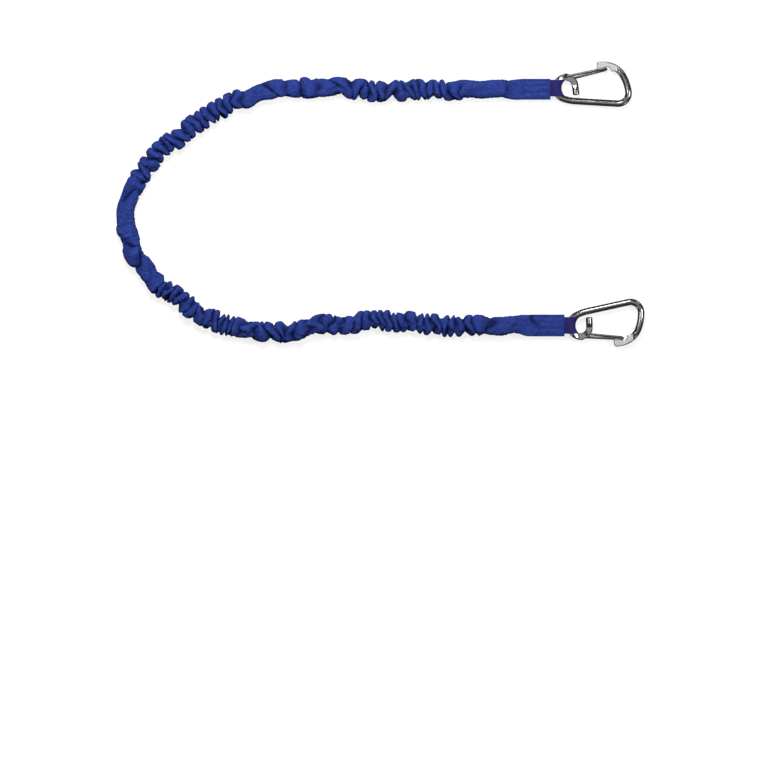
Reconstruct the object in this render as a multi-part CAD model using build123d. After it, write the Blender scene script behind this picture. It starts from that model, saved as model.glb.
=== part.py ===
from build123d import *
import math
import os

# An elastic tool lanyard lying flat in a loose U: a gathered tubular webbing sleeve over an elastic
# core, with a webbing loop and a bent rod carabiner sewn to each end.
# Frame: millimetres, +Z up, the lanyard lies on Z = 0. The origin is the middle, on that surface, of the
# box round the two ends (the flat sleeve ends, loops and carabiners). +X points from the sleeve to the
# carabiners, and +Y from the tool end to the anchor end.

# Carabiner, in its own plane: the centre of its small end is the origin and the wide end is towards +X.
ROD_RADIUS = 3.0
SMALL_END_RADIUS = 10.0
SMALL_END_FROM = 115.0
SMALL_END_TO = 250.0
FINGER_BEND_RADIUS = 8.2
FINGER_LEAN = 7.0
FINGER_STRAIGHT = 9.0
FINGER_TIP_FILLET = 1.2
SPINE_LEAD_RADIUS = 40.0
SPINE_SLOPE = -3.4
SPINE_LENGTH = 37.6
CORNER_RADIUS = 9.5
SIDE_RADIUS = 41.0
SIDE_FROM = 98.0
SIDE_TO = 119.0
BROW_RADIUS = 19.0
BROW_TO = 176.0
NOSE_STRAIGHT = 4.0
FORGED_HALF = 1.75
FORGED_RAMP = 3.5
RAMP_CLEAR = 0.1
# Each flat of the forged metal: where it starts, the angle it runs at, and its length and width.
SHOULDER_FLAT = ((-4.0, 10.0), 0.0, 8.0, 12.0)
FINGER_FLAT = ((9.5, 2.8), 90.0, 13.2, 11.2)
NOSE_FLAT = ((44.5, 18.0), 180.0, 24.5, 16.0)

# Nose, with the notch that the gate's end lies in.
NOSE_LEFT = 26.9
NOSE_TOP = 23.9
LIP_BOTTOM = 17.0
TOOTH = (39.6, 15.0)
NOSE_INNER = (45.2, 15.4)
BROW_INSIDE = (41.0, 21.0)
NOSE_FILLET = 2.2
NOSE_CHAMFER = 0.45
NOTCH_CENTRE = (36.3, 16.4)
NOTCH_RADIUS = 3.0

# Wire gate: one bent wire with a leg on each face of the frame, and a hole for each leg.
WIRE_RADIUS = 1.1
FRONT_HOLE = (-1.2, 10.3)
BACK_HOLE = (4.0, 8.4)
FRONT_TIP = (35.2, 17.9)
BACK_TIP = (35.5, 16.5)
LEG_HEIGHT = 3.1
LEG_BEND = 1.5
TIP_BEND = 2.6
PEG_END = 0.5
HOLE_FLOOR = 0.3
HOLE_GAP = 0.15
SHOULDER_RADIUS = 3.0
GATE_OPENS = 28.0

# Webbing loop round the small end.
WEBBING_WIDTH = 15.0
WEBBING_THICK = 1.0
LOOP_GAP = 0.2
LOOP_REACH = 4.7
LOOP_INNER_EDGE = -1.6
TAIL_LENGTH = 24.0
TAIL_SPACE = 0.9

# Sleeve and core. The sections of the flat ends are rounded by a share of their height.
SLEEVE_WIDTH = 17.0
SLEEVE_HEIGHT = 11.0
SLEEVE_WALL = 2.0
CORE_DIAMETER = 5.5
TAPER_LENGTH = 14.0
END_LENGTH = 40.0
END_SHOULDER_SIZE = (19.4, 5.2)
END_EDGE_SIZE = (20.0, 4.4)
END_WALL = 0.7
END_ROUNDING = 0.49
CORE_TAB_SIZE = (9.0, 0.8)
CORE_TAB_FROM = 16.0
CORE_TAB_TO = 30.0

# Box stitch: thread laid on both faces of the flat end.
THREAD_WIDTH = 0.5
THREAD_PROUD = 0.25
STITCH_FROM = 16.5
STITCH_TO = 38.6
STITCH_ROWS = (-7.9, -2.6, 3.4, 7.9)

# The middle height of everything hard: the webbing passes under the rod.
MID_Z = ROD_RADIUS + LOOP_GAP + WEBBING_THICK
CORD_Z = SLEEVE_HEIGHT / 2

# Each end: the sleeve's cut edge, the lines of its sleeve and its loop across Y, and how the carabiner lies.
ENDS = {
    "anchor": {"edge_x": -22.3, "y": 103.3, "loop_y": 104.3, "turned_over": False, "swing": 0.0},
    "tool": {"edge_x": -9.7, "y": -109.3, "loop_y": -109.3, "turned_over": True, "swing": 9.0},
}

# The sleeve's route between its two flat ends, chosen by hand.
ANCHOR_START = (ENDS["anchor"]["edge_x"] - END_LENGTH, ENDS["anchor"]["y"])
TOOL_START = (ENDS["tool"]["edge_x"] - END_LENGTH, ENDS["tool"]["y"])
ROUTE_BETWEEN = [
    (-86.0, 103.3),
    (-115.0, 103.0),
    (-150.5, 102.2),
    (-184.0, 101.4),
    (-217.0, 105.6),
    (-248.0, 104.4),
    (-278.5, 102.2),
    (-305.2, 93.2),
    (-331.0, 79.4),
    (-355.4, 63.2),
    (-374.8, 45.8),
    (-392.4, 26.6),
    (-403.8, 3.2),
    (-405.0, -22.6),
    (-395.8, -47.8),
    (-378.0, -69.4),
    (-356.2, -87.0),
    (-329.6, -103.8),
    (-298.8, -113.8),
    (-267.0, -116.4),
    (-237.0, -109.6),
    (-206.5, -107.6),
    (-172.0, -104.4),
    (-144.0, -106.8),
    (-114.5, -110.0),
    (-86.0, -109.6),
    (-67.0, -109.3),
]
ROUTE = [(x, y, CORD_Z) for x, y in [ANCHOR_START, *ROUTE_BETWEEN, TOOL_START]]
ARC_SHARE = 0.45


def corner_radii(points):
    """The largest arc at each corner that leaves a little straight run between it and the next."""
    radii = []
    for before, corner, after in zip(points, points[1:], points[2:]):
        arriving = Vector(*corner) - Vector(*before)
        leaving = Vector(*after) - Vector(*corner)
        half_turn = math.radians(arriving.get_angle(leaving)) / 2
        radii.append(ARC_SHARE * min(arriving.length, leaving.length) / math.tan(half_turn))
    return radii


def swept(section, path):
    """A section drawn round the start of a path and carried along it."""
    start = Plane(origin=path @ 0, x_dir=(0, 0, 1), z_dir=path % 0)
    return sweep(start * section, path=path)


def sleeve_tube(path):
    outer = swept(Ellipse(SLEEVE_HEIGHT / 2, SLEEVE_WIDTH / 2), path)
    inner = Ellipse(SLEEVE_HEIGHT / 2 - SLEEVE_WALL, SLEEVE_WIDTH / 2 - SLEEVE_WALL)
    return outer - swept(inner, path)


def elastic_core(path):
    return swept(Circle(CORE_DIAMETER / 2), path)


def cross_section(x, z, width, height):
    """A rounded rectangle across the sleeve's end, at x along it and z up."""
    across = Plane(origin=(x, 0, z), x_dir=(0, 1, 0), z_dir=(1, 0, 0))
    return across * RectangleRounded(width, height, END_ROUNDING * height)


def end_envelope(inset):
    """The flattened sleeve end's outside, drawn in by inset all round."""
    stations = [
        (0, CORD_Z, SLEEVE_WIDTH, SLEEVE_HEIGHT),
        (TAPER_LENGTH, MID_Z, *END_SHOULDER_SIZE),
        (END_LENGTH, MID_Z, *END_EDGE_SIZE),
    ]
    sections = []
    for x, z, width, height in stations:
        sections.append(cross_section(x, z, width - 2 * inset, height - 2 * inset))
    return loft(sections, ruled=True)


def sleeve_end():
    return end_envelope(0) - end_envelope(END_WALL)


def core_end():
    """The core's end, pressed flat between the two layers of webbing."""
    sections = [
        cross_section(0, CORD_Z, CORE_DIAMETER, CORE_DIAMETER),
        cross_section(CORE_TAB_FROM, MID_Z, *CORE_TAB_SIZE),
        cross_section(CORE_TAB_TO, MID_Z, *CORE_TAB_SIZE),
    ]
    return loft(sections, ruled=True)


def loop_tails():
    """The webbing's two flat layers inside the sleeve's end."""
    middle_x = END_LENGTH - TAIL_LENGTH / 2
    height = (TAIL_SPACE + WEBBING_THICK) / 2
    layers = []
    for side in (1, -1):
        place = Pos(middle_x, 0, MID_Z + side * height)
        layers.append(place * Box(TAIL_LENGTH, WEBBING_WIDTH, WEBBING_THICK))
    return Compound(children=layers)


def box_stitch():
    """Rows of thread along and across the flat end, proud of both of its faces."""
    length = STITCH_TO - STITCH_FROM
    middle_x = (STITCH_FROM + STITCH_TO) / 2
    span = STITCH_ROWS[-1] - STITCH_ROWS[0]
    lines = Sketch()
    for y in STITCH_ROWS:
        lines += Pos(middle_x, y) * Rectangle(length, THREAD_WIDTH)
    for x in (STITCH_FROM, STITCH_TO):
        lines += Pos(x, 0) * Rectangle(THREAD_WIDTH, span + THREAD_WIDTH)
    prism = extrude(lines, SLEEVE_HEIGHT)
    skin = end_envelope(-THREAD_PROUD) - end_envelope(0)
    return prism & skin


def loop_eye():
    """Webbing round the rod of the small end, as wide as the strip, with a neck to the cut edge."""
    edge_x = -SMALL_END_RADIUS - LOOP_REACH
    around = Torus(SMALL_END_RADIUS, ROD_RADIUS + LOOP_GAP + WEBBING_THICK)
    hole = Torus(SMALL_END_RADIUS, ROD_RADIUS + LOOP_GAP)
    length = LOOP_INNER_EDGE - edge_x
    strip = Pos(edge_x + length / 2, 0, 0) * Box(length, WEBBING_WIDTH, 4 * ROD_RADIUS)
    neck_length = LOOP_REACH + ROD_RADIUS
    neck_thick = TAIL_SPACE + 2 * WEBBING_THICK
    neck = Pos(edge_x + neck_length / 2, 0, 0) * Box(neck_length, WEBBING_WIDTH, neck_thick)
    return (around & strip) + neck - hole


def frame_path():
    """The rod's centreline, from the finger's tip round the small end and along the spine to the nose."""
    small_end = CenterArc((0, 0), SMALL_END_RADIUS, SMALL_END_FROM, SMALL_END_TO - SMALL_END_FROM)
    backwards = (small_end % 0) * -1
    finger_bend = JernArc(small_end @ 0, backwards, FINGER_BEND_RADIUS, FINGER_LEAN - SMALL_END_FROM)
    finger_end = finger_bend @ 1 + (finger_bend % 1) * FINGER_STRAIGHT
    finger = Line(finger_end, finger_bend @ 1)
    lead_turn = SPINE_SLOPE - (SMALL_END_TO + 90 - 360)
    lead = JernArc(small_end @ 1, small_end % 1, SPINE_LEAD_RADIUS, lead_turn)
    spine = Line(lead @ 1, lead @ 1 + (lead % 1) * SPINE_LENGTH)
    corner = JernArc(spine @ 1, spine % 1, CORNER_RADIUS, SIDE_FROM - SPINE_SLOPE)
    side = JernArc(corner @ 1, corner % 1, SIDE_RADIUS, SIDE_TO - SIDE_FROM)
    brow = JernArc(side @ 1, side % 1, BROW_RADIUS, BROW_TO - SIDE_TO)
    nose = Line(brow @ 1, brow @ 1 + (brow % 1) * NOSE_STRAIGHT)
    return Wire([finger, finger_bend, small_end, lead, spine, corner, side, brow, nose])


def both_faces(sketch, half_thickness):
    return extrude(sketch, half_thickness, both=True)


def nose_plate():
    """The hook at the rod's end: a square nose, and the notch and tooth that hold the gate's tip."""
    outline = Polyline(
        (NOSE_LEFT, LIP_BOTTOM),
        (NOSE_LEFT, NOSE_TOP),
        (NOTCH_CENTRE[0], NOSE_TOP),
        BROW_INSIDE,
        NOSE_INNER,
        TOOTH,
        (TOOTH[0], LIP_BOTTOM),
        close=True,
    )
    face = make_face(outline)
    top_left = face.vertices().sort_by_distance((NOSE_LEFT, NOSE_TOP, 0))[0]
    plate = both_faces(fillet(top_left, NOSE_FILLET), FORGED_HALF)
    rims = plate.edges().group_by(Axis.Z)
    return chamfer([*rims[0], *rims[-1]], NOSE_CHAMFER)


def gate_pivot():
    return ((FRONT_HOLE[0] + BACK_HOLE[0]) / 2, (FRONT_HOLE[1] + BACK_HOLE[1]) / 2)


def shoulder_plate():
    """The flattened, slightly widened stretch that holds the gate's two holes."""
    between = Line(FRONT_HOLE, BACK_HOLE)
    angle = math.degrees(math.atan2(BACK_HOLE[1] - FRONT_HOLE[1], BACK_HOLE[0] - FRONT_HOLE[0]))
    slot = SlotCenterToCenter(between.length, 2 * SHOULDER_RADIUS)
    return both_faces(Pos(*gate_pivot()) * Rot(0, 0, angle) * slot, FORGED_HALF)


def ramp_cutter(start, angle, length, width):
    """Takes away the metal above and below the forged thickness, with a ramp before the flat's start."""
    tall = 2 * ROD_RADIUS
    outline = make_face(
        Plane.XZ
        * Polyline(
            (-FORGED_RAMP, ROD_RADIUS + RAMP_CLEAR),
            (0, FORGED_HALF),
            (length, FORGED_HALF),
            (length, tall),
            (-FORGED_RAMP, tall),
            close=True,
        )
    )
    above = Pos(*start) * Rot(0, 0, angle) * extrude(outline, width / 2, both=True)
    return above + mirror(above, Plane.XY)


def hole_slot(hole):
    """The short arc that a leg's end moves along as the gate opens."""
    pivot = gate_pivot()
    across = (hole[0] - pivot[0], hole[1] - pivot[1])
    rest_angle = math.degrees(math.atan2(across[1], across[0]))
    travel = CenterArc(pivot, math.hypot(*across), rest_angle, -GATE_OPENS)
    return SlotArc(travel, 2 * (WIRE_RADIUS + HOLE_GAP))


def carabiner_frame():
    path = frame_path()
    rod = swept(Circle(ROD_RADIUS), path)
    tip_face = rod.faces().filter_by(GeomType.PLANE).sort_by_distance(path @ 0)[0]
    rod = fillet(tip_face.edges(), FINGER_TIP_FILLET)
    rod -= ramp_cutter(*SHOULDER_FLAT)
    rod -= ramp_cutter(*FINGER_FLAT)
    rod -= ramp_cutter(*NOSE_FLAT)
    frame = rod + nose_plate() + shoulder_plate()
    frame -= both_faces(Pos(*NOTCH_CENTRE) * Circle(NOTCH_RADIUS), ROD_RADIUS)
    depth = 2 * ROD_RADIUS
    frame -= Pos(0, 0, HOLE_FLOOR) * extrude(hole_slot(FRONT_HOLE), depth)
    frame -= Pos(0, 0, -HOLE_FLOOR) * extrude(hole_slot(BACK_HOLE), -depth)
    return frame


def wire_gate():
    points = [
        (*FRONT_HOLE, PEG_END),
        (*FRONT_HOLE, LEG_HEIGHT),
        (*FRONT_TIP, LEG_HEIGHT),
        (*BACK_TIP, -LEG_HEIGHT),
        (*BACK_HOLE, -LEG_HEIGHT),
        (*BACK_HOLE, -PEG_END),
    ]
    path = FilletPolyline(*points, radius=[LEG_BEND, TIP_BEND, TIP_BEND, LEG_BEND])
    return sweep(Plane(origin=path @ 0, z_dir=path % 0) * Circle(WIRE_RADIUS), path=path)


def in_end(shape, end):
    """Places a piece of the sleeve's end, drawn from its taper towards the cut edge."""
    return Pos(end["edge_x"] - END_LENGTH, end["y"], 0) * shape


def in_line_with_loop(shape, end):
    """Places a piece of the sleeve's end that lies on the loop's line."""
    return Pos(end["edge_x"] - END_LENGTH, end["loop_y"], 0) * shape


def in_loop(shape, end):
    """Places a piece drawn round the centre of the carabiner's small end."""
    ring_x = end["edge_x"] + LOOP_REACH + SMALL_END_RADIUS
    return Pos(ring_x, end["loop_y"], MID_Z) * shape


def in_carabiner(shape, end):
    """Places a carabiner piece as its carabiner lies: turned over or not, and swung in its loop."""
    over = Rot(180, 0, 0) if end["turned_over"] else Rot(0, 0, 0)
    return in_loop(Rot(0, 0, end["swing"]) * over * shape, end)


def write(name, shape):
    export_step(shape, f"parts/{name}.step")


os.makedirs("parts", exist_ok=True)
radii = corner_radii(ROUTE)
print("arc radii of the sleeve's route:", [round(r, 1) for r in radii])
line = FilletPolyline(*ROUTE, radius=radii)
print("length of the sleeve between its flat ends:", round(line.length, 1))
write("sleeve_tube", sleeve_tube(line))
write("elastic_core", elastic_core(line))
for end_name, end in ENDS.items():
    write(f"{end_name}_sleeve_end", in_end(sleeve_end(), end))
    write(f"{end_name}_core_end", in_end(core_end(), end))
    write(f"{end_name}_loop_tails", in_line_with_loop(loop_tails(), end))
    write(f"{end_name}_box_stitch", in_end(box_stitch(), end))
    write(f"{end_name}_loop_eye", in_loop(loop_eye(), end))
    write(f"{end_name}_carabiner_frame", in_carabiner(carabiner_frame(), end))
    write(f"{end_name}_wire_gate", in_carabiner(wire_gate(), end))
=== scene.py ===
import math

import bpy
import numpy as np
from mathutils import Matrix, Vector


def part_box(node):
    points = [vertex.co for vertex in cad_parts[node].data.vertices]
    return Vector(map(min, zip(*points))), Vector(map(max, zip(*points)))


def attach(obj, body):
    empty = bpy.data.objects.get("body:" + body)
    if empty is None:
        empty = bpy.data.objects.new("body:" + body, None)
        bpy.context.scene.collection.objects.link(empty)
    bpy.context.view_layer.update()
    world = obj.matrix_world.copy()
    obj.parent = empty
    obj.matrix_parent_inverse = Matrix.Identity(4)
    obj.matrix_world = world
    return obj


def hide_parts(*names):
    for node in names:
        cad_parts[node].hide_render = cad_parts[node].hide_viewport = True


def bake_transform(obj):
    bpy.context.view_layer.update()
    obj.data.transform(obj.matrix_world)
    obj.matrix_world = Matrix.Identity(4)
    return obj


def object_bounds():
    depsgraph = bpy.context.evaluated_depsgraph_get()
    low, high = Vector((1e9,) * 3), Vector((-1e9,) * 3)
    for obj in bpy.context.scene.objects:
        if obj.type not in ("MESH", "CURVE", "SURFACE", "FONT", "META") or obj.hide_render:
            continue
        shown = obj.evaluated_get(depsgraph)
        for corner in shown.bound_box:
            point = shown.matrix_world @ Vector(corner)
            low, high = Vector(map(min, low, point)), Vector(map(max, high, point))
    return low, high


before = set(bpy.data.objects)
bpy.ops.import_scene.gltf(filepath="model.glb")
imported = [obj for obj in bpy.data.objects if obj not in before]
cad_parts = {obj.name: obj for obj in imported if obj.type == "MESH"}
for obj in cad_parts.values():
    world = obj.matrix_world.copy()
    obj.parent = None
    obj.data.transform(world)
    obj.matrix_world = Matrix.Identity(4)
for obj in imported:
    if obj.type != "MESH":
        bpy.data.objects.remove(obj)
cad_low, cad_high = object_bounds()

# An elastic tool lanyard lying flat in a loose U, seen from straight above. Metres, in the frame of the CAD.

# The view: the whole picture is this wide, and its centre is here.
VIEW_WIDTH = 0.684
VIEW_CENTRE = (-0.1758, -0.1584)
CAMERA_HEIGHT = 1.5

# The sleeve's route between its two flat ends, as in part.py.
ROUTE_HEIGHT = 0.0055
ROUTE = [
    (-0.0623, 0.1033),
    (-0.0860, 0.1033),
    (-0.1150, 0.1030),
    (-0.1505, 0.1022),
    (-0.1840, 0.1014),
    (-0.2170, 0.1056),
    (-0.2480, 0.1044),
    (-0.2785, 0.1022),
    (-0.3052, 0.0932),
    (-0.3310, 0.0794),
    (-0.3554, 0.0632),
    (-0.3748, 0.0458),
    (-0.3924, 0.0266),
    (-0.4038, 0.0032),
    (-0.4050, -0.0226),
    (-0.3958, -0.0478),
    (-0.3780, -0.0694),
    (-0.3562, -0.0870),
    (-0.3296, -0.1038),
    (-0.2988, -0.1138),
    (-0.2670, -0.1164),
    (-0.2370, -0.1096),
    (-0.2065, -0.1076),
    (-0.1720, -0.1044),
    (-0.1440, -0.1068),
    (-0.1145, -0.1100),
    (-0.0860, -0.1096),
    (-0.0670, -0.1093),
    (-0.0497, -0.1093),
]

# The sleeve's tube: its mesh, its section between the folds, and its flat sewn ends.
RING_STEP = 0.0007
POINTS_ROUND = 76
TUBE_ROUND = 0.0418
TUBE_WIDTH = 0.0158
TUBE_HEIGHT = 0.0098
TUBE_CENTRE_Z = 0.0054
END_THICK = 0.0044
END_WIDTHS = {"anchor": 0.0188, "tool": 0.0204}
END_TAPER = 0.020

# How square the tube's section is: where it is gathered, how much more where it is smooth, and at its ends.
TUBE_POWER = 2.2
SMOOTH_POWER = 1.4
END_POWER = 5.0

# The core, and the room that the sleeve leaves round its middle line.
CORE_DIAMETER = 0.0055
CORE_CLEAR = 0.0033
CORE_RINGS = 400
CORE_POINTS_ROUND = 20
CORE_RIB_LENGTH = 0.003
CORE_RIB_SHARE = 0.02

# The sleeve from the anchor's cut edge to the tool's: the length of each stretch, how far apart its folds
# are, how deep they are, and how far they slant forward on the left of somebody walking along it.
STRETCHES = [
    (0.0240, 0.0120, 0.00, 0.000),
    (0.0090, 0.0090, 0.55, 0.003),
    (0.0390, 0.0390, 0.14, 0.000),
    (0.0080, 0.0080, 0.80, 0.004),
    (0.0970, 0.0073, 1.00, 0.000),
    (0.0380, 0.0190, 0.55, 0.000),
    (0.0080, 0.0060, 1.00, 0.000),
    (0.0200, 0.0200, 0.35, 0.000),
    (0.0040, 0.0040, 0.95, 0.000),
    (0.0230, 0.0230, 0.12, 0.000),
    (0.0100, 0.0100, 0.70, 0.003),
    (0.1270, 0.0074, 1.05, 0.000),
    (0.0430, 0.0430, 0.10, 0.000),
    (0.0110, 0.0110, 1.05, 0.010),
    (0.0110, 0.0110, 1.10, -0.009),
    (0.0270, 0.0270, 0.15, 0.000),
    (0.1460, 0.0074, 1.05, 0.000),
    (0.0200, 0.0200, 0.40, 0.000),
    (0.0140, 0.0070, 0.95, 0.005),
    (0.0350, 0.0085, 0.70, 0.000),
    (0.0900, 0.0069, 1.05, 0.000),
    (0.0360, 0.0360, 0.16, 0.000),
    (0.0140, 0.0140, 0.60, -0.005),
    (0.0270, 0.0120, 0.00, 0.000),
]
SEED = 7

# A fold of full depth: how far its ridge stands out, how far the valleys beside it sink, and how far the
# ridge leans over them. Folds farther apart than usual have blunter ridges.
RIDGE_SIZE = 0.0022
VALLEY_SIDE = 0.0022
VALLEY_TOP = 0.0026
VALLEY_SIDE_POWER = 1.5
RIDGE_SHARPNESS = (0.45, 1.70)
FOLD_USUAL = 0.0072
RIDGE_OVERHANG = 0.76
OVERHANG_FROM = 0.002
OVERHANG_RAMP = 0.003
DEEPEST = 1.2

# How much the folds differ from one another and round the tube. Heights and depths are each a mean, a spread
# and limits, as shares of a full fold.
SPACING_SPREAD = 0.48
SPACING_LIMITS = (0.40, 2.4)
SIZE_LIMITS = (0.70, 1.30)
SLANT_SHARE = 0.26
WOBBLE_SHARE = 0.15
RIDGE_HEIGHTS = (0.85, 0.40, (0.1, 1.15))
VALLEY_DEPTHS = (1.00, 0.55, (0.1, 1.6))
FOLD_MODES = 3

# Over what length smooth cloth changes to gathered cloth.
GATHER_EASE = 0.010

# Small creases all over the cloth, and the wander and swelling of the whole tube, with the shortest and the
# longest that each is along the tube.
CREASE_HEIGHT = 0.00040
CREASE_LENGTHS = (0.0050, 0.0160)
CREASE_LIMITS = (-1.2, 1.0)
CREASE_LEAST = 0.06
CREASE_MODES = 5
WANDER = 0.0010
WANDER_LENGTHS = (0.018, 0.070)
SWELLING = 0.05
SWELLING_LENGTHS = (0.015, 0.050)
WAVE_COUNT = 26

# How much of the wander and the swelling is left where the cloth is smooth.
SMOOTH_LOOSENESS = 0.35

# What stands out sideways beyond the widest place is cut by this share, and the tube rests softly on the
# floor, its valleys a little higher than its ridges.
WIDEST = 0.0096
WIDEST_CUT = 0.6
FLOOR_CLEAR = 0.0002
FLOOR_SOFTNESS = 0.0006
VALLEY_LIFT = 0.0006

# The box stitch on each flat end, measured from the cut edge and from the end's middle.
STITCH_FROM = 0.0014
STITCH_TO = 0.0235
STITCH_ROWS = (-0.0079, -0.0026, 0.0034, 0.0079)
STITCH_LENGTH = 0.0021
STITCH_GAP = 0.0006
THREAD_RADIUS = 0.00032
THREAD_SINK = 0.0004
THREAD_PROUD = 0.4
THREAD_STEP = 0.0001
THREAD_RINGS = 7
THREAD_POINTS_ROUND = 6
FLAT_END_EDGE = 0.98
DIMPLE_DEPTH = 0.00035
DIMPLE_WIDTH = 0.0007

# The webbing loop round the rod of the carabiner's small end.
ROD_RADIUS = 0.003
SMALL_END_RADIUS = 0.010
LOOP_REACH = 0.0047
WEBBING_WIDTH = 0.015
WEBBING_THICK = 0.001
WEBBING_LAYER = 0.00095
LOOP_GAP = 0.0002
LOOP_SLACK = 0.0010
LOOP_TAIL = 0.003
LOOP_COLUMNS = 31
LOOP_TAIL_ROWS = 5
LOOP_RISE_ROWS = 7
LOOP_ARC_ROWS = 14
LOOP_SLACK_POWER = 0.7
SELVEDGE_SHARE = 0.35

# The forged frames: how finely the metal is remade so that its edges are rounded, and which flats are
# ground: those of the nose, as shares of the frame's thickness and length.
FORGE_GRAIN = 0.00034
FORGE_SMOOTHING = 8
GROUND_HEIGHT = 0.38
GROUND_FROM = 0.50
GROUND_LEVEL = 0.96
GROUND_STEEPNESS = {"level": 30.0, "height": 50.0, "nose": 40.0}

# The surfaces' fine detail. Patches, threads, marks, smears, waves and grains are in cycles per metre.
DYE_PATCHES = 90.0
DYE_THREADS = 2600.0
DYE_PATCH_SHARE = 0.75
# Painted shade: the sleeve's colour is multiplied by this where its valleys are deepest.
VALLEY_SHADE = (0.30, 0.32, 0.36)
POLISH_MARKS = 900.0
METAL_SMEARS = 120.0
METAL_WAVES = 160.0
SMEAR_ROUGHNESS = 0.16
SMEAR_SHADE = 0.86
GROUND_GRAINS = 1500.0
GROUND_DARK = (0.25, 0.25, 0.25)
GROUND_LIGHT = (0.43, 0.43, 0.427)
GROUND_ROUGHNESS = 0.36
GRAIN_ROUGHNESS = 0.2
GROUND_METALLIC_LOSS = 0.9

# The studio.
FLOOR_HALF = 3.0
LIGHT_DISTANCE = 1.6
LOW_TILT = 43
WORLD_STRENGTH = 0.05


def ease(share):
    """A share from 0 to 1, made to start and stop gently."""
    return share * share * (3 - 2 * share)


def route_points(places):
    """Points along the smooth spline that has these places as its control points."""
    curve = bpy.data.curves.new("route", "CURVE")
    curve.dimensions = "3D"
    curve.resolution_u = 24
    spline = curve.splines.new("NURBS")
    spline.points.add(len(places) - 1)
    for point, place in zip(spline.points, places):
        point.co = (*place, 1.0)
    spline.order_u = 3
    spline.use_endpoint_u = True
    holder = bpy.data.objects.new("route", curve)
    line = bpy.data.meshes.new_from_object(holder)
    points = np.array([v.co for v in line.vertices])
    bpy.data.objects.remove(holder)
    bpy.data.curves.remove(curve)
    bpy.data.meshes.remove(line)
    return points


class Line:
    """A smooth line, its length, and the place and the sideways direction at any distance along it."""

    def __init__(self, points):
        steps = np.linalg.norm(np.diff(points, axis=0), axis=1)
        self.points = points
        self.distance = np.concatenate([[0.0], np.cumsum(steps)])
        self.length = self.distance[-1]
        ahead = np.gradient(points[:, :2], self.distance, axis=0)
        self.ahead = ahead / np.linalg.norm(ahead, axis=1)[:, None]

    def place(self, distance):
        return [np.interp(distance, self.distance, self.points[:, axis]) for axis in range(3)]

    def carry(self, distance, across, height):
        """World points for places given as distance along the line, offset across it and height."""
        x, y, _ = self.place(distance)
        ahead_x = np.interp(distance, self.distance, self.ahead[:, 0])
        ahead_y = np.interp(distance, self.distance, self.ahead[:, 1])
        return np.stack([x - across * ahead_y, y + across * ahead_x, height], axis=-1)


def grid_faces(rings, around):
    """Quads between neighbouring rings of points."""
    faces = []
    for ring in range(rings - 1):
        for step in range(around):
            after = (step + 1) % around
            low = ring * around
            high = low + around
            faces.append((low + step, low + after, high + after, high + step))
    return faces


def add_piece(name, points, faces, material):
    mesh = bpy.data.meshes.new(name)
    mesh.from_pydata([tuple(p) for p in points], [], faces)
    mesh.validate()
    mesh.shade_smooth()
    mesh.materials.append(material)
    piece = bpy.data.objects.new(name, mesh)
    bpy.context.scene.collection.objects.link(piece)
    return piece


def cap_faces(rings, around):
    """The two faces that close a tube of rings."""
    first = tuple(range(around))
    last = tuple(range(rings * around - 1, (rings - 1) * around - 1, -1))
    return [first, last]


ENDS = {}
for end in ("anchor", "tool"):
    low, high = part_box(end + "_sleeve_end")
    frame_low, frame_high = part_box(end + "_carabiner_frame")
    ENDS[end] = {
        "edge_x": high.x,
        "y": (low.y + high.y) / 2,
        "mid_z": (frame_low.z + frame_high.z) / 2,
    }
MID_Z = ENDS["anchor"]["mid_z"]


# Materials


class Shader:
    """A material whose principled shader is fed by a few nodes."""

    def __init__(self, name, **settings):
        self.material = bpy.data.materials.new(name)
        self.material.use_nodes = True
        self.tree = self.material.node_tree
        self.principled = self.tree.nodes["Principled BSDF"]
        for socket, value in settings.items():
            self.principled.inputs[socket.replace("_", " ")].default_value = value

    def node(self, kind, inputs=None, **settings):
        made = self.tree.nodes.new(kind)
        for key, value in settings.items():
            setattr(made, key, value)
        for key, value in (inputs or {}).items():
            if isinstance(value, bpy.types.NodeSocket):
                self.tree.links.new(value, made.inputs[key])
            else:
                made.inputs[key].default_value = value
        return made

    def math(self, operation, first, second=0.0, clamp=False):
        inputs = {0: first, 1: second}
        return self.node("ShaderNodeMath", inputs, operation=operation, use_clamp=clamp).outputs[0]

    def split(self, vector):
        return self.node("ShaderNodeSeparateXYZ", {0: vector}).outputs

    def noise(self, scale, detail=3.0, vector=None):
        inputs = {"Scale": scale, "Detail": detail}
        if vector is not None:
            inputs["Vector"] = vector
        return self.node("ShaderNodeTexNoise", inputs).outputs["Fac"]

    def ramp(self, value, low, high, low_colour, high_colour):
        made = self.node("ShaderNodeValToRGB", {"Fac": value})
        made.color_ramp.elements[0].position = low
        made.color_ramp.elements[1].position = high
        made.color_ramp.elements[0].color = (*low_colour, 1.0)
        made.color_ramp.elements[1].color = (*high_colour, 1.0)
        return made.outputs["Color"]

    def mix(self, share, first, second, blend="MIX"):
        made = self.node("ShaderNodeMix", data_type="RGBA", blend_type=blend)
        sockets = [socket for socket in made.inputs if socket.enabled]
        for socket, value in zip(sockets, (share, first, second)):
            if isinstance(value, bpy.types.NodeSocket):
                self.tree.links.new(value, socket)
            else:
                socket.default_value = value
        return [socket for socket in made.outputs if socket.enabled][0]

    def bump(self, height, strength, distance, before=None):
        inputs = {"Height": height, "Strength": strength, "Distance": distance}
        if before is not None:
            inputs["Normal"] = before
        return self.node("ShaderNodeBump", inputs).outputs["Normal"]

    def feed(self, socket, value):
        self.tree.links.new(value, self.principled.inputs[socket])


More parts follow.
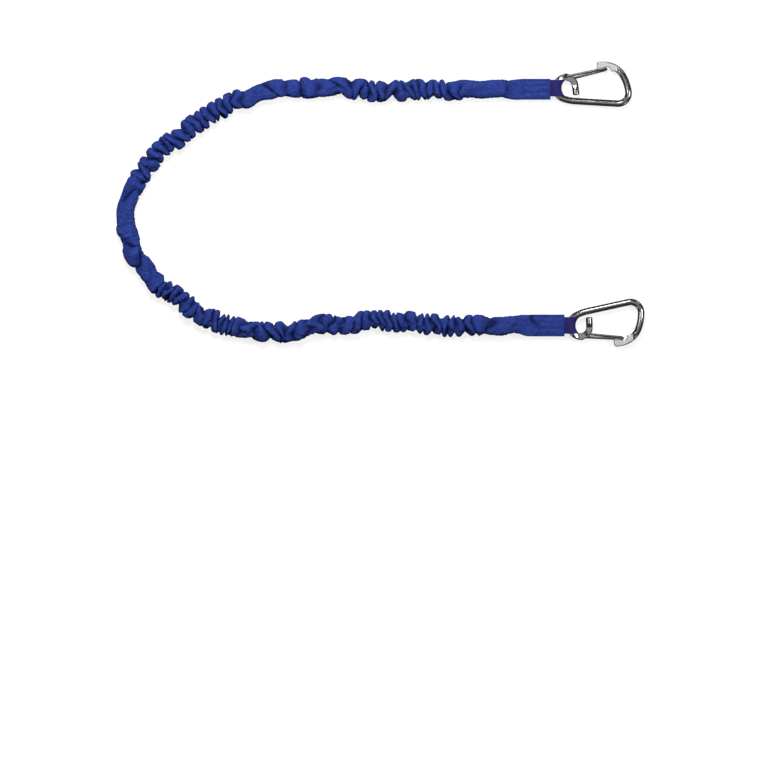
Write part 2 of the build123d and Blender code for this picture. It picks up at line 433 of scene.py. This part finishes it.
def woven(name, dark, light, thread, roughness, sheen, twill=False, folded=False):
    """Cloth: threads over and under each other, in cloth coordinates, with uneven dye and a little fuzz.

    Folded cloth has painted shade in its valleys: its colour is darkened there by its attribute "outside"."""
    shader = Shader(
        name,
        Roughness=roughness,
        Specular_IOR_Level=0.12,
        Sheen_Weight=sheen,
        Sheen_Roughness=0.5,
        Sheen_Tint=(*[min(1.0, 2.5 * c + 0.1) for c in light], 1.0),
    )
    cloth = shader.node("ShaderNodeAttribute", attribute_name="cloth").outputs["Vector"]
    place = shader.split(cloth)
    turns = 2 * math.pi / thread
    along = shader.math("MULTIPLY", place["X"], turns)
    across = shader.math("MULTIPLY", place["Y"], turns)
    if twill:
        along = shader.math("ADD", along, shader.math("MULTIPLY", across, 0.5))
    weave = shader.math("MULTIPLY", shader.math("SINE", along), shader.math("SINE", across))
    patches = shader.math("MULTIPLY", shader.noise(DYE_PATCHES, 4.0), DYE_PATCH_SHARE)
    threads = shader.noise(DYE_THREADS, 2.0)
    dye = shader.math("ADD", patches, shader.math("MULTIPLY", threads, 1 - DYE_PATCH_SHARE))
    dye_and_painted_shade = shader.ramp(dye, 0.36, 0.64, dark, light)
    # Painted shade: the colour is darkened in the valleys of the folds.
    if folded:
        outside = shader.node("ShaderNodeAttribute", attribute_name="outside").outputs["Fac"]
        shade = shader.ramp(outside, 0.25, 1.0, VALLEY_SHADE, (1.0, 1.0, 1.0))
        dye_and_painted_shade = shader.mix(1.0, dye_and_painted_shade, shade, "MULTIPLY")
    shader.feed("Base Color", dye_and_painted_shade)
    fuzz = shader.bump(threads, strength=0.35, distance=0.0002)
    shader.feed("Normal", shader.bump(weave, strength=0.45, distance=0.00012, before=fuzz))
    return shader.material


def ground_flats(shader, coordinates):
    """1 on the flat faces of the frame's nose, 0 elsewhere, with a narrow border between."""
    steep = GROUND_STEEPNESS
    facing = shader.math("ABSOLUTE", shader.split(coordinates["Normal"])["Z"])
    share = shader.split(coordinates["Generated"])
    from_middle = shader.math("ABSOLUTE", shader.math("SUBTRACT", share["Z"], 0.5))
    level = shader.math("MULTIPLY", shader.math("SUBTRACT", facing, GROUND_LEVEL), steep["level"])
    low = shader.math("MULTIPLY", shader.math("SUBTRACT", GROUND_HEIGHT, from_middle), steep["height"])
    nose = shader.math("MULTIPLY", shader.math("SUBTRACT", share["X"], GROUND_FROM), steep["nose"])
    return shader.math("MINIMUM", level, shader.math("MINIMUM", low, nose), clamp=True)


def steel(name, colour, roughness, drawn, ground=False):
    """Polished stainless steel: fine polishing marks, faint waviness from forging, and smears.

    A ground frame is dull and grainy on the flats of its nose."""
    shader = Shader(name, Metallic=1.0)
    coordinates = shader.node("ShaderNodeTexCoord").outputs
    place = coordinates["Object"]
    stretched = shader.node("ShaderNodeMapping", {"Vector": place, "Scale": drawn}).outputs["Vector"]
    marks = shader.noise(POLISH_MARKS, 3.0, stretched)
    smears = shader.noise(METAL_SMEARS, 3.0, place)
    waves = shader.noise(METAL_WAVES, 1.0, place)
    least = roughness - SMEAR_ROUGHNESS / 2
    uneven = shader.math("ADD", shader.math("MULTIPLY", smears, SMEAR_ROUGHNESS), least)
    worn = shader.ramp(smears, 0.3, 0.7, [SMEAR_SHADE * c for c in colour], colour)
    if ground:
        flat = ground_flats(shader, coordinates)
        grains = shader.noise(GROUND_GRAINS, 2.0, place)
        dull = shader.math("ADD", shader.math("MULTIPLY", grains, GRAIN_ROUGHNESS), GROUND_ROUGHNESS)
        worn = shader.mix(flat, worn, shader.ramp(grains, 0.35, 0.65, GROUND_DARK, GROUND_LIGHT))
        uneven = shader.mix(flat, uneven, dull)
        loss = shader.math("MULTIPLY", flat, GROUND_METALLIC_LOSS)
        shader.feed("Metallic", shader.math("SUBTRACT", 1.0, loss))
    shader.feed("Base Color", worn)
    shader.feed("Roughness", uneven)
    forged = shader.bump(waves, strength=0.05, distance=0.0006)
    shader.feed("Normal", shader.bump(marks, strength=0.04, distance=0.0001, before=forged))
    return shader.material


def sleeve_cloth():
    dark, light = (0.009, 0.018, 0.103), (0.021, 0.038, 0.192)
    return woven("sleeve_cloth", dark, light, thread=0.0006, roughness=0.8, sheen=0.03, folded=True)


def loop_cloth():
    dark, light = (0.010, 0.009, 0.058), (0.019, 0.017, 0.098)
    return woven("loop_cloth", dark, light, thread=0.0009, roughness=0.75, sheen=0.03, twill=True)


def core_cloth():
    dark, light = (0.030, 0.030, 0.034), (0.060, 0.060, 0.066)
    return woven("core_cloth", dark, light, thread=0.0008, roughness=0.7, sheen=0.1, twill=True)


def thread_cloth():
    dark, light = (0.004, 0.014, 0.050), (0.009, 0.026, 0.085)
    return woven("thread", dark, light, thread=0.0004, roughness=0.6, sheen=0.1, twill=True)


def rod_steel():
    return steel("rod_steel", (0.58, 0.57, 0.555), roughness=0.17, drawn=(1.0, 1.0, 1.0), ground=True)


def wire_steel():
    return steel("wire_steel", (0.36, 0.352, 0.34), roughness=0.30, drawn=(0.2, 1.0, 1.0))


SLEEVE_CLOTH = sleeve_cloth()
LOOP_CLOTH = loop_cloth()
CORE_CLOTH = core_cloth()
THREAD = thread_cloth()
ROD_STEEL = rod_steel()
WIRE_STEEL = wire_steel()


# The camera, then the sleeve and its core.


def make_camera():
    camera = bpy.data.cameras.new("camera")
    camera.type = "ORTHO"
    camera.ortho_scale = VIEW_WIDTH
    camera.clip_end = 10.0
    holder = bpy.data.objects.new("camera", camera)
    holder.location = (*VIEW_CENTRE, CAMERA_HEIGHT)
    bpy.context.scene.collection.objects.link(holder)
    bpy.context.scene.camera = holder


make_camera()


def at_edge(end):
    """The middle of a flat end's cut edge."""
    return (ENDS[end]["edge_x"], ENDS[end]["y"], MID_Z)


route = [(x, y, ROUTE_HEIGHT) for x, y in ROUTE]
sleeve_line = Line(route_points([at_edge("anchor"), *route, at_edge("tool")]))
core_line = Line(route_points(route))


def section(width, height, power):
    """Points evenly spaced round a flattened ring, from the middle of its underside: across and up."""
    turn = np.linspace(-math.pi / 2, 1.5 * math.pi, 361)
    across = 0.5 * width * np.sign(np.cos(turn)) * np.abs(np.cos(turn)) ** (2 / power)
    up = 0.5 * height * np.sign(np.sin(turn)) * np.abs(np.sin(turn)) ** (2 / power)
    run = np.concatenate([[0.0], np.cumsum(np.hypot(np.diff(across), np.diff(up)))])
    even = np.linspace(0.0, run[-1], POINTS_ROUND, endpoint=False)
    return np.interp(even, run, across), np.interp(even, run, up)


def smooth_noise(random, along, around, modes, lengths):
    """A smooth random field over the cloth, which meets itself round the tube, of about unit size."""
    field = np.zeros((len(along), len(around)))
    for _ in range(WAVE_COUNT):
        wave = 2 * math.pi / random.uniform(*lengths)
        mode = random.integers(-modes, modes + 1)
        shift = random.uniform(0, 2 * math.pi)
        field += np.sin(wave * along[:, None] + mode * around[None, :] + shift)
    return field / math.sqrt(WAVE_COUNT / 2)


def ring_noise(random, around):
    """A smooth random value for each place round one fold, of about unit size."""
    value = np.zeros(len(around))
    for mode in range(1, FOLD_MODES + 1):
        value += random.normal() * np.cos(mode * around) + random.normal() * np.sin(mode * around)
    return value / math.sqrt(FOLD_MODES)


def uneven_ring(random, around, mean, spread, limits):
    return np.clip(mean + spread * ring_noise(random, around), *limits)


def make_folds(random, around):
    """Each fold's place, height, valley after it and sharpness. All but the last change round the tube."""
    scale = sleeve_line.length / sum(row[0] for row in STRETCHES)
    places, heights, depths, sharps = [], [], [], []
    start = 0.0
    for length, spacing, depth, slant in STRETCHES:
        count = max(1, round(length / spacing))
        shares = np.clip(np.exp(SPACING_SPREAD * random.normal(size=count)), *SPACING_LIMITS)
        steps = shares / shares.sum() * length * scale
        for step in steps:
            tilt = slant + random.normal() * SLANT_SHARE * step
            wobble = WOBBLE_SHARE * step * ring_noise(random, around)
            places.append(start + step / 2 + tilt * np.cos(around) + wobble)
            size = depth * random.uniform(*SIZE_LIMITS)
            heights.append(size * uneven_ring(random, around, *RIDGE_HEIGHTS))
            depths.append(size * uneven_ring(random, around, *VALLEY_DEPTHS))
            sharps.append(random.uniform(*RIDGE_SHARPNESS) * min(1.0, FOLD_USUAL / step))
            start += step
    return np.sort(np.array(places), axis=0), np.array(heights), np.array(depths), np.array(sharps)


def how_gathered(along):
    """How folded the cloth is at each distance, from 0 for smooth to 1, with its changes eased."""
    ends = np.cumsum([row[0] for row in STRETCHES])
    stretch = np.clip(np.searchsorted(ends, along), 0, len(STRETCHES) - 1)
    depth = np.clip(np.array([row[2] for row in STRETCHES]), 0.0, 1.0)[stretch]
    window = np.ones(round(GATHER_EASE / RING_STEP))
    padded = np.pad(depth, len(window) // 2, mode="edge")
    return np.convolve(padded, window / window.sum(), "valid")[: len(along)]


def tube_sections(along, roundness, gathered):
    """The tube without its folds: flat at its sewn ends and round between them, across and up."""
    across = np.zeros((len(along), POINTS_ROUND))
    up = np.zeros((len(along), POINTS_ROUND))
    end_widths = np.where(along < sleeve_line.length / 2, END_WIDTHS["anchor"], END_WIDTHS["tool"])
    for ring, share in enumerate(roundness):
        width = end_widths[ring] + (TUBE_WIDTH - end_widths[ring]) * share
        height = END_THICK + (TUBE_HEIGHT - END_THICK) * share
        gathered_power = TUBE_POWER + (1 - gathered[ring]) * SMOOTH_POWER
        power = END_POWER + (gathered_power - END_POWER) * share
        across[ring], up[ring] = section(width, height, power)
    return across, up


def spread_folds(along, folds):
    """Each point's phase within its fold, then the fold's ridge, valley, spacing, sharpness."""
    places, heights, depths, sharps = folds
    number = np.arange(len(places))
    fields = np.zeros((5, len(along), POINTS_ROUND))
    for column in range(POINTS_ROUND):
        at = np.interp(along, places[:, column], number)
        fields[0, :, column] = 2 * math.pi * at
        fields[1, :, column] = np.interp(at, number, heights[:, column])
        fields[2, :, column] = np.interp(at - 0.5, number, depths[:, column])
        fields[3, :, column] = np.interp(at, number, np.gradient(places[:, column]))
        fields[4, :, column] = np.interp(at, number, sharps)
    return fields


def lay_folds():
    """The gathered tube in straight coordinates: along the route, across it and up.

    Also how far along the cloth each ring is, and how near the outside each point is, from 0 to 1."""
    random = np.random.default_rng(SEED)
    rings = round(sleeve_line.length / RING_STEP) + 1
    along = np.linspace(0.0, sleeve_line.length, rings)
    turn = np.linspace(-math.pi / 2, 1.5 * math.pi, POINTS_ROUND, endpoint=False)
    from_end = np.minimum(along - STRETCHES[0][0], sleeve_line.length - STRETCHES[-1][0] - along)
    roundness = ease(np.clip(from_end / END_TAPER, 0.0, 1.0))
    gathered = how_gathered(along)
    across, up = tube_sections(along, roundness, gathered)
    loose = (roundness * (SMOOTH_LOOSENESS + (1 - SMOOTH_LOOSENESS) * gathered))[:, None]
    roundness = roundness[:, None]

    phase, ridge, valley, spacing, sharpness = spread_folds(along, make_folds(random, turn))
    crest = (0.5 + 0.5 * np.cos(phase)) ** sharpness
    sideways = np.abs(np.cos(turn))[None, :] ** VALLEY_SIDE_POWER
    valley_size = VALLEY_TOP + (VALLEY_SIDE - VALLEY_TOP) * sideways
    out = ridge * RIDGE_SIZE * crest - valley * valley_size * (1 - crest)
    creases = 1 - 2 * np.abs(smooth_noise(random, along, turn, CREASE_MODES, CREASE_LENGTHS))
    folded = np.clip(ridge + valley, CREASE_LEAST, 1.0)
    out += CREASE_HEIGHT * np.clip(creases, *CREASE_LIMITS) * folded
    out *= roundness

    grow = 1 + out / np.hypot(across, up)
    whole = np.zeros(1)
    sway = WANDER * smooth_noise(random, along, whole, 0, WANDER_LENGTHS) * loose
    swelling = 1 + SWELLING * smooth_noise(random, along, whole, 0, SWELLING_LENGTHS) * loose
    across = across * grow * swelling + sway
    beyond = np.clip(np.abs(across) - WIDEST, 0.0, None)
    across -= WIDEST_CUT * beyond * np.sign(across)
    centre_z = MID_Z + (TUBE_CENTRE_Z - MID_Z) * roundness
    up = pucker(along, across, centre_z + up * grow)
    lowest = FLOOR_CLEAR + VALLEY_LIFT * (1 - crest) * valley
    up = lowest + FLOOR_SOFTNESS * np.log1p(np.exp((up - lowest) / FLOOR_SOFTNESS))
    from_core = np.hypot(across, up - ROUTE_HEIGHT)
    up += np.clip(CORE_CLEAR - from_core, 0.0, None) * (up > ROUTE_HEIGHT) * (roundness > 0.5)

    sunk = np.clip(valley, 0.0, DEEPEST)
    overhang = RIDGE_OVERHANG * spacing / (2 * math.pi) * np.sin(phase) * sunk
    overhang *= roundness * np.clip((up - OVERHANG_FROM) / OVERHANG_RAMP, 0.0, 1.0)
    # How near the outside each point is, by which the sleeve's material paints shade into its valleys.
    outside = 1 - sunk * (1 - crest) / DEEPEST
    return along[:, None] + overhang, across, np.maximum(up, FLOOR_CLEAR), along, outside


def pucker(along, across, up):
    """Draws the cloth of the flat ends in along the rows of stitches."""
    dimples = np.zeros_like(up)
    sides = (along, -1), (sleeve_line.length - along, 1)
    for from_edge, left in sides:
        sewn = (from_edge > STITCH_FROM) & (from_edge < STITCH_TO)
        for row in STITCH_ROWS:
            near = (across - left * row) / DIMPLE_WIDTH
            dimples += sewn[:, None] * np.exp(-near * near)
        for place in (STITCH_FROM, STITCH_TO):
            near = (from_edge - place) / DIMPLE_WIDTH
            dimples += np.exp(-near * near)[:, None] * (np.abs(across) < STITCH_ROWS[-1])
    return up - DIMPLE_DEPTH * np.clip(dimples, 0.0, 1.0) * np.sign(up - MID_Z)


def make_sleeve():
    along, across, up, cloth, outside = lay_folds()
    points = sleeve_line.carry(along, across, up)
    rings = len(points)
    faces = grid_faces(rings, POINTS_ROUND) + cap_faces(rings, POINTS_ROUND)
    piece = add_piece("gathered_sleeve", points.reshape(-1, 3), faces, SLEEVE_CLOTH)
    lay_cloth(piece, cloth, TUBE_ROUND / POINTS_ROUND, POINTS_ROUND)
    # The attribute by which the sleeve's material paints shade into its valleys.
    shown = piece.data.attributes.new("outside", "FLOAT", "POINT")
    shown.data.foreach_set("value", outside.ravel())
    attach(piece, "lanyard")
    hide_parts("sleeve_tube", "anchor_sleeve_end", "tool_sleeve_end")


def lay_cloth(piece, along, step_round, points_round):
    """Writes the cloth coordinates that a weave follows: along the cloth, and round or across it."""
    cloth = piece.data.attributes.new("cloth", "FLOAT_VECTOR", "POINT")
    values = np.zeros((len(piece.data.vertices), 3))
    count = len(along) * points_round
    values[:count, 0] = np.repeat(along, points_round)
    values[:count, 1] = np.tile(np.arange(points_round) * step_round, len(along))
    cloth.data.foreach_set("vector", values.ravel())


def make_core():
    distance = np.linspace(0.0, core_line.length, CORE_RINGS)
    turn = np.linspace(0, 2 * math.pi, CORE_POINTS_ROUND, endpoint=False)
    ribs = 1 + CORE_RIB_SHARE * np.cos(2 * math.pi * distance / CORE_RIB_LENGTH)
    radius = 0.5 * CORE_DIAMETER * ribs[:, None] / (1 + CORE_RIB_SHARE)
    along = np.repeat(distance[:, None], CORE_POINTS_ROUND, axis=1)
    points = core_line.carry(along, radius * np.cos(turn), ROUTE_HEIGHT + radius * np.sin(turn))
    faces = grid_faces(CORE_RINGS, CORE_POINTS_ROUND) + cap_faces(CORE_RINGS, CORE_POINTS_ROUND)
    piece = add_piece("elastic_core_cord", points.reshape(-1, 3), faces, CORE_CLOTH)
    lay_cloth(piece, distance, math.pi * CORE_DIAMETER / CORE_POINTS_ROUND, CORE_POINTS_ROUND)
    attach(piece, "lanyard")
    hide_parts("elastic_core")


make_sleeve()
make_core()


# Stitches, webbing loops and carabiners


def stitch(start, end, side):
    """One stitch as a bent thread from start to end, its ends sunk in the cloth above or below."""
    rings, around = THREAD_RINGS, THREAD_POINTS_ROUND
    start, end = np.array(start), np.array(end)
    ahead = (end - start) / np.linalg.norm(end - start)
    left = np.array([-ahead[1], ahead[0], 0.0])
    points = []
    for share in np.linspace(0.0, 1.0, rings):
        rise = THREAD_SINK * (math.sin(math.pi * share) ** 0.5 - 1) + THREAD_RADIUS * THREAD_PROUD
        middle = start + (end - start) * share + np.array([0.0, 0.0, side * rise])
        for turn in np.linspace(0, 2 * math.pi, around, endpoint=False):
            lift = np.array([0.0, 0.0, THREAD_RADIUS * math.sin(turn)])
            points.append(middle + left * THREAD_RADIUS * math.cos(turn) + lift)
    faces = grid_faces(rings, around)
    faces.append(tuple(range(around - 1, -1, -1)))
    faces.append(tuple(range((rings - 1) * around, rings * around)))
    return points, faces


def cloth_height(end, y):
    """How far the face of the flat end is from its middle, at an offset across it."""
    share = min(abs(y) / (END_WIDTHS[end] / 2), FLAT_END_EDGE)
    return END_THICK / 2 * (1 - share**END_POWER) ** (1 / END_POWER) - DIMPLE_DEPTH


def stitch_lines():
    """The ends of every line of stitches on a flat end, as offsets from its cut edge's middle."""
    low, high = STITCH_ROWS[0], STITCH_ROWS[-1]
    rows = [((-STITCH_TO, y), (-STITCH_FROM, y)) for y in STITCH_ROWS]
    across = [((-x, low), (-x, high)) for x in (STITCH_FROM, STITCH_TO)]
    return rows + across


def make_stitches(end):
    edge = np.array(at_edge(end))
    points, faces = [], []
    for first, last in stitch_lines():
        first, last = np.array(first), np.array(last)
        length = np.linalg.norm(last - first)
        count = round(length / (STITCH_LENGTH + STITCH_GAP))
        gap_share = STITCH_GAP / (STITCH_LENGTH + STITCH_GAP)
        for number in range(count):
            begin = first + (last - first) * number / count
            finish = first + (last - first) * (number + 1 - gap_share) / count
            for side in (1, -1):
                ends = []
                for x, y in (begin, finish):
                    ends.append(edge + np.array([x, y, side * cloth_height(end, y)]))
                new_points, new_faces = stitch(*ends, side)
                faces += [tuple(index + len(points) for index in face) for face in new_faces]
                points += new_points
    # Each thread's cloth coordinates just run on from point to point.
    piece = add_piece(end + "_stitches", points, faces, THREAD)
    lay_cloth(piece, np.arange(len(points)) * THREAD_STEP, 0.0, 1)
    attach(piece, "lanyard")
    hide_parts(end + "_box_stitch")


def loop_profile(reach):
    """The middle of the webbing, seen from the side: from the upper tail round the rod to the lower one.

    The rod's centre is the origin, and the cut edge is at -reach."""
    radius = ROD_RADIUS + LOOP_GAP + WEBBING_THICK / 2
    tail = [(-reach - LOOP_TAIL * (1 - share), WEBBING_LAYER) for share in np.linspace(0, 1, LOOP_TAIL_ROWS)]
    away = math.hypot(reach, WEBBING_LAYER)
    first_turn = math.atan2(WEBBING_LAYER, -reach) - math.acos(radius / away)
    touch = (radius * math.cos(first_turn), radius * math.sin(first_turn))
    rising = []
    for share in np.linspace(0, 1, LOOP_RISE_ROWS)[1:-1]:
        x = -reach + (touch[0] + reach) * share
        rising.append((x, WEBBING_LAYER + (touch[1] - WEBBING_LAYER) * (0.5 * share + 0.5 * ease(share))))
    arc = []
    for turn in np.linspace(first_turn, 0, LOOP_ARC_ROWS):
        slack = LOOP_SLACK * max(math.cos(turn), 0.0) ** LOOP_SLACK_POWER
        arc.append((radius * math.cos(turn) + slack, radius * math.sin(turn)))
    upper = tail + rising + arc
    lower = [(x, -z) for x, z in reversed(upper[:-1])]
    return np.array(upper + lower)


def make_loop(end):
    """The navy webbing loop: one strip whose middle is laid out, then given its thickness."""
    edge_x, y, _ = at_edge(end)
    eye_low, eye_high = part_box(end + "_loop_eye")
    middle_y = (eye_low.y + eye_high.y) / 2
    offsets = np.linspace(-WEBBING_WIDTH / 2, WEBBING_WIDTH / 2, LOOP_COLUMNS)
    columns = []
    for offset in offsets:
        rod_x = LOOP_REACH + SMALL_END_RADIUS - math.sqrt(SMALL_END_RADIUS**2 - offset**2)
        profile = loop_profile(rod_x)
        place_y = np.full(len(profile), middle_y + offset)
        columns.append(np.stack([edge_x + rod_x + profile[:, 0], place_y, MID_Z + profile[:, 1]], axis=1))
    grid = np.stack(columns, axis=1)
    rows = len(grid)
    faces = []
    for row in range(rows - 1):
        for column in range(LOOP_COLUMNS - 1):
            low = row * LOOP_COLUMNS + column
            faces.append((low, low + 1, low + LOOP_COLUMNS + 1, low + LOOP_COLUMNS))
    strip = add_piece(end + "_loop_strip", grid.reshape(-1, 3), faces, LOOP_CLOTH)
    steps = np.linalg.norm(np.diff(grid[:, LOOP_COLUMNS // 2], axis=0), axis=1)
    run = np.concatenate([[0.0], np.cumsum(steps)])
    lay_cloth(strip, run, WEBBING_WIDTH / (LOOP_COLUMNS - 1), LOOP_COLUMNS)
    thicken = strip.modifiers.new("thickness", "SOLIDIFY")
    thicken.thickness = WEBBING_THICK
    thicken.offset = 0.0
    round_edges = strip.modifiers.new("selvedge", "BEVEL")
    round_edges.width = SELVEDGE_SHARE * WEBBING_THICK
    round_edges.segments = 3
    piece = as_made(strip, end + "_webbing_loop")
    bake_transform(piece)
    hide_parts(end + "_loop_eye")


def as_made(source, name):
    """A new piece with the source's modifiers made real. The source is removed."""
    bpy.context.view_layer.update()
    made = source.evaluated_get(bpy.context.evaluated_depsgraph_get())
    mesh = bpy.data.meshes.new_from_object(made)
    mesh.name = name
    mesh.shade_smooth()
    piece = bpy.data.objects.new(name, mesh)
    bpy.context.scene.collection.objects.link(piece)
    bpy.data.objects.remove(source)
    return piece


def make_frame(end):
    """The forged and polished frame: the CAD's metal with its edges and ramps rounded."""
    node = end + "_carabiner_frame"
    metal = bpy.data.objects.new(end + "_metal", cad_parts[node].data.copy())
    bpy.context.scene.collection.objects.link(metal)
    remake = metal.modifiers.new("forge", "REMESH")
    remake.mode = "VOXEL"
    remake.voxel_size = FORGE_GRAIN
    polish = metal.modifiers.new("polish", "SMOOTH")
    polish.factor = 0.5
    polish.iterations = FORGE_SMOOTHING
    piece = as_made(metal, end + "_forged_frame")
    piece.data.materials.clear()
    piece.data.materials.append(ROD_STEEL)
    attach(piece, end + "_carabiner")
    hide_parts(node)


for end in ENDS:
    make_stitches(end)
    make_loop(end)
    make_frame(end)


def paint(node, material):
    """Gives a CAD node its material."""
    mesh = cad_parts[node].data
    mesh.materials.clear()
    mesh.materials.append(material)


for end in ENDS:
    paint(end + "_wire_gate", WIRE_STEEL)
    paint(end + "_loop_tails", LOOP_CLOTH)
    paint(end + "_core_end", CORE_CLOTH)


# Floor and lights


def make_floor():
    half = FLOOR_HALF
    corners = [(-half, -half, 0.0), (half, -half, 0.0), (half, half, 0.0), (-half, half, 0.0)]
    shader = Shader(
        "white_floor",
        Roughness=0.9,
        Base_Color=(0.16, 0.16, 0.16, 1.0),
        Emission_Color=(1.0, 1.0, 1.0, 1.0),
        Emission_Strength=0.82,
    )
    floor = add_piece("floor", corners, [(0, 1, 2, 3)], shader.material)
    floor.visible_glossy = False
    floor.visible_diffuse = False


def add_square_light(name, tilt_x, tilt_y, size, power):
    """A square light about the lanyard's middle, tilted from straight above towards +X and +Y."""
    middle = Vector(((cad_low.x + cad_high.x) / 2, 0.0, 0.0))
    light = bpy.data.lights.new(name, "AREA")
    light.size = size
    light.energy = power
    side = math.sin(math.radians(tilt_x)) * LIGHT_DISTANCE
    back = math.sin(math.radians(tilt_y)) * LIGHT_DISTANCE
    height = math.sqrt(LIGHT_DISTANCE**2 - side**2 - back**2)
    away = Vector((side, back, height))
    holder = bpy.data.objects.new(name, light)
    holder.location = middle + away
    holder.rotation_mode = "QUATERNION"
    holder.rotation_quaternion = away.to_track_quat("Z", "Y")
    holder.visible_camera = False
    bpy.context.scene.collection.objects.link(holder)
    return holder


def add_softbox(name, tilt_x, tilt_y, size, power):
    """A soft light that the cloth and the floor see, and polished metal doesn't."""
    add_square_light(name, tilt_x, tilt_y, size, power).visible_glossy = False


def add_card(name, tilt_x, tilt_y, size, brightness):
    """A reflector card that only polished metal sees."""
    power = brightness * math.pi * size * size
    add_square_light(name, tilt_x, tilt_y, size, power).visible_diffuse = False


def make_world():
    world = bpy.data.worlds.new("studio")
    world.use_nodes = True
    background = world.node_tree.nodes["Background"]
    background.inputs["Color"].default_value = (1.0, 1.0, 1.0, 1.0)
    background.inputs["Strength"].default_value = WORLD_STRENGTH
    bpy.context.scene.world = world


make_floor()
make_world()
add_softbox("back_softbox", tilt_x=-8, tilt_y=38, size=0.60, power=42)
add_softbox("right_softbox", tilt_x=50, tilt_y=5, size=0.45, power=18)
add_softbox("left_softbox", tilt_x=-60, tilt_y=10, size=0.40, power=10)
add_card("overhead_card", tilt_x=0, tilt_y=2, size=0.95, brightness=0.40)
add_card("back_card", tilt_x=0, tilt_y=38, size=0.36, brightness=9.0)
add_card("right_card", tilt_x=46, tilt_y=0, size=0.36, brightness=9.0)
add_card("left_card", tilt_x=-28, tilt_y=0, size=0.24, brightness=8.0)
for side in (LOW_TILT, -LOW_TILT):
    for back in (LOW_TILT, -LOW_TILT):
        add_card("low_card", tilt_x=side, tilt_y=back, size=0.50, brightness=1.3)
bpy.context.scene.view_settings.view_transform = "Standard"
